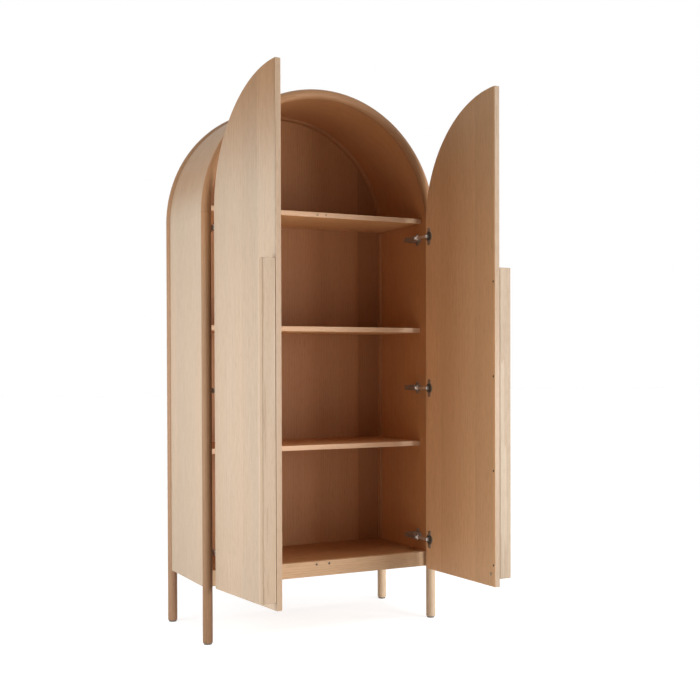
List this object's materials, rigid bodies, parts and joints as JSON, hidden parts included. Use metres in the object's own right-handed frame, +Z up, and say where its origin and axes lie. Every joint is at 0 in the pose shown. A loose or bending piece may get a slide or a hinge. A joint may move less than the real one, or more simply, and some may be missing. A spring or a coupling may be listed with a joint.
{
  "type": "wardrobe cabinet",
  "caption": "Tall arched oak cabinet on round legs, with bent hoops, curved skin, fixed shelves, inset hinged doors and upright fin handles.",
  "frame": {"origin": "on the floor at the middle of the footprint with the doors open as stored: from front to back in the upright plane of the door hinge axes, and from side to side 18 mm right of the middle of the carcass, because the right handle stands out past the posts", "axes": "+X to the right of someone facing the front, +Y to the back, +Z up; the front faces -Y"},
  "size_m": [0.95, 0.8498, 1.923],
  "materials": {
    "oak_solid": "matte lacquer",
    "oak_veneer": "matte lacquer",
    "nickel": "satin",
    "dark_steel": "satin",
    "grey_plastic": "matte"
  },
  "bodies": {
    "carcass": {"arch_top_panel": "oak_veneer", "back_panel": "oak_veneer", "bottom_front_rail": "oak_solid", "bottom_panel": "oak_veneer", "front_arch": "oak_solid", "front_left_glide": "grey_plastic", "front_left_post": "oak_solid", "front_right_glide": "grey_plastic", "front_right_post": "oak_solid", "left_low_hinge_base": "nickel", "left_magnet": "dark_steel", "left_middle_hinge_base": "nickel", "left_side_panel": "oak_veneer", "left_top_hinge_base": "nickel", "lower_shelf": "oak_veneer", "middle_shelf": "oak_veneer", "rear_arch": "oak_solid", "rear_left_glide": "grey_plastic", "rear_left_post": "oak_solid", "rear_right_glide": "grey_plastic", "rear_right_post": "oak_solid", "right_low_hinge_base": "nickel", "right_magnet": "dark_steel", "right_middle_hinge_base": "nickel", "right_side_panel": "oak_veneer", "right_top_hinge_base": "nickel", "top_shelf": "oak_veneer"},
    "left_door": {"left_door": "oak_veneer", "left_handle": "oak_solid", "left_handle_screw_1": "dark_steel", "left_handle_screw_2": "dark_steel", "left_handle_screw_3": "dark_steel", "left_handle_screw_4": "dark_steel", "left_low_hinge_cup": "nickel", "left_middle_hinge_cup": "nickel", "left_strike": "nickel", "left_top_hinge_cup": "nickel"},
    "left_low_hinge_link": {"left_low_hinge_link": "nickel"},
    "left_middle_hinge_link": {"left_middle_hinge_link": "nickel"},
    "left_top_hinge_link": {"left_top_hinge_link": "nickel"},
    "right_door": {"right_door": "oak_veneer", "right_handle": "oak_solid", "right_handle_screw_1": "dark_steel", "right_handle_screw_2": "dark_steel", "right_handle_screw_3": "dark_steel", "right_handle_screw_4": "dark_steel", "right_low_hinge_cup": "nickel", "right_middle_hinge_cup": "nickel", "right_strike": "nickel", "right_top_hinge_cup": "nickel"},
    "right_low_hinge_link": {"right_low_hinge_link": "nickel"},
    "right_middle_hinge_link": {"right_middle_hinge_link": "nickel"},
    "right_top_hinge_link": {"right_top_hinge_link": "nickel"}
  },
  "joints": [
    {"name": "left_door_swing", "type": "hinge", "parent": "carcass", "child": "left_door", "pos_m": [-0.44901, 0, 0.86], "axis": [0, 0, -1], "range_deg": [-83.5, 11.5]},
    {"name": "left_low_link_swing", "type": "hinge", "parent": "carcass", "child": "left_low_hinge_link", "pos_m": [-0.41201, 0.036, 0.301], "axis": [0, 0, -1], "range_deg": [-83.5, 11.5]},
    {"name": "left_middle_link_swing", "type": "hinge", "parent": "carcass", "child": "left_middle_hinge_link", "pos_m": [-0.41201, 0.036, 0.86], "axis": [0, 0, -1], "range_deg": [-83.5, 11.5]},
    {"name": "left_top_link_swing", "type": "hinge", "parent": "carcass", "child": "left_top_hinge_link", "pos_m": [-0.41201, 0.036, 1.419], "axis": [0, 0, -1], "range_deg": [-83.5, 11.5]},
    {"name": "right_door_swing", "type": "hinge", "parent": "carcass", "child": "right_door", "pos_m": [0.41299, 0, 0.86], "axis": [0, 0, 1], "range_deg": [-93, 2]},
    {"name": "right_low_link_swing", "type": "hinge", "parent": "carcass", "child": "right_low_hinge_link", "pos_m": [0.37599, 0.036, 0.301], "axis": [0, 0, 1], "range_deg": [-93, 2]},
    {"name": "right_middle_link_swing", "type": "hinge", "parent": "carcass", "child": "right_middle_hinge_link", "pos_m": [0.37599, 0.036, 0.86], "axis": [0, 0, 1], "range_deg": [-93, 2]},
    {"name": "right_top_link_swing", "type": "hinge", "parent": "carcass", "child": "right_top_hinge_link", "pos_m": [0.37599, 0.036, 1.419], "axis": [0, 0, 1], "range_deg": [-93, 2]}
  ],
  "couplings": [
    {"joint": "left_low_link_swing", "follows": "left_door_swing", "ratio": 1},
    {"joint": "left_middle_link_swing", "follows": "left_door_swing", "ratio": 1},
    {"joint": "left_top_link_swing", "follows": "left_door_swing", "ratio": 1},
    {"joint": "right_low_link_swing", "follows": "right_door_swing", "ratio": 1},
    {"joint": "right_middle_link_swing", "follows": "right_door_swing", "ratio": 1},
    {"joint": "right_top_link_swing", "follows": "right_door_swing", "ratio": 1}
  ]
}
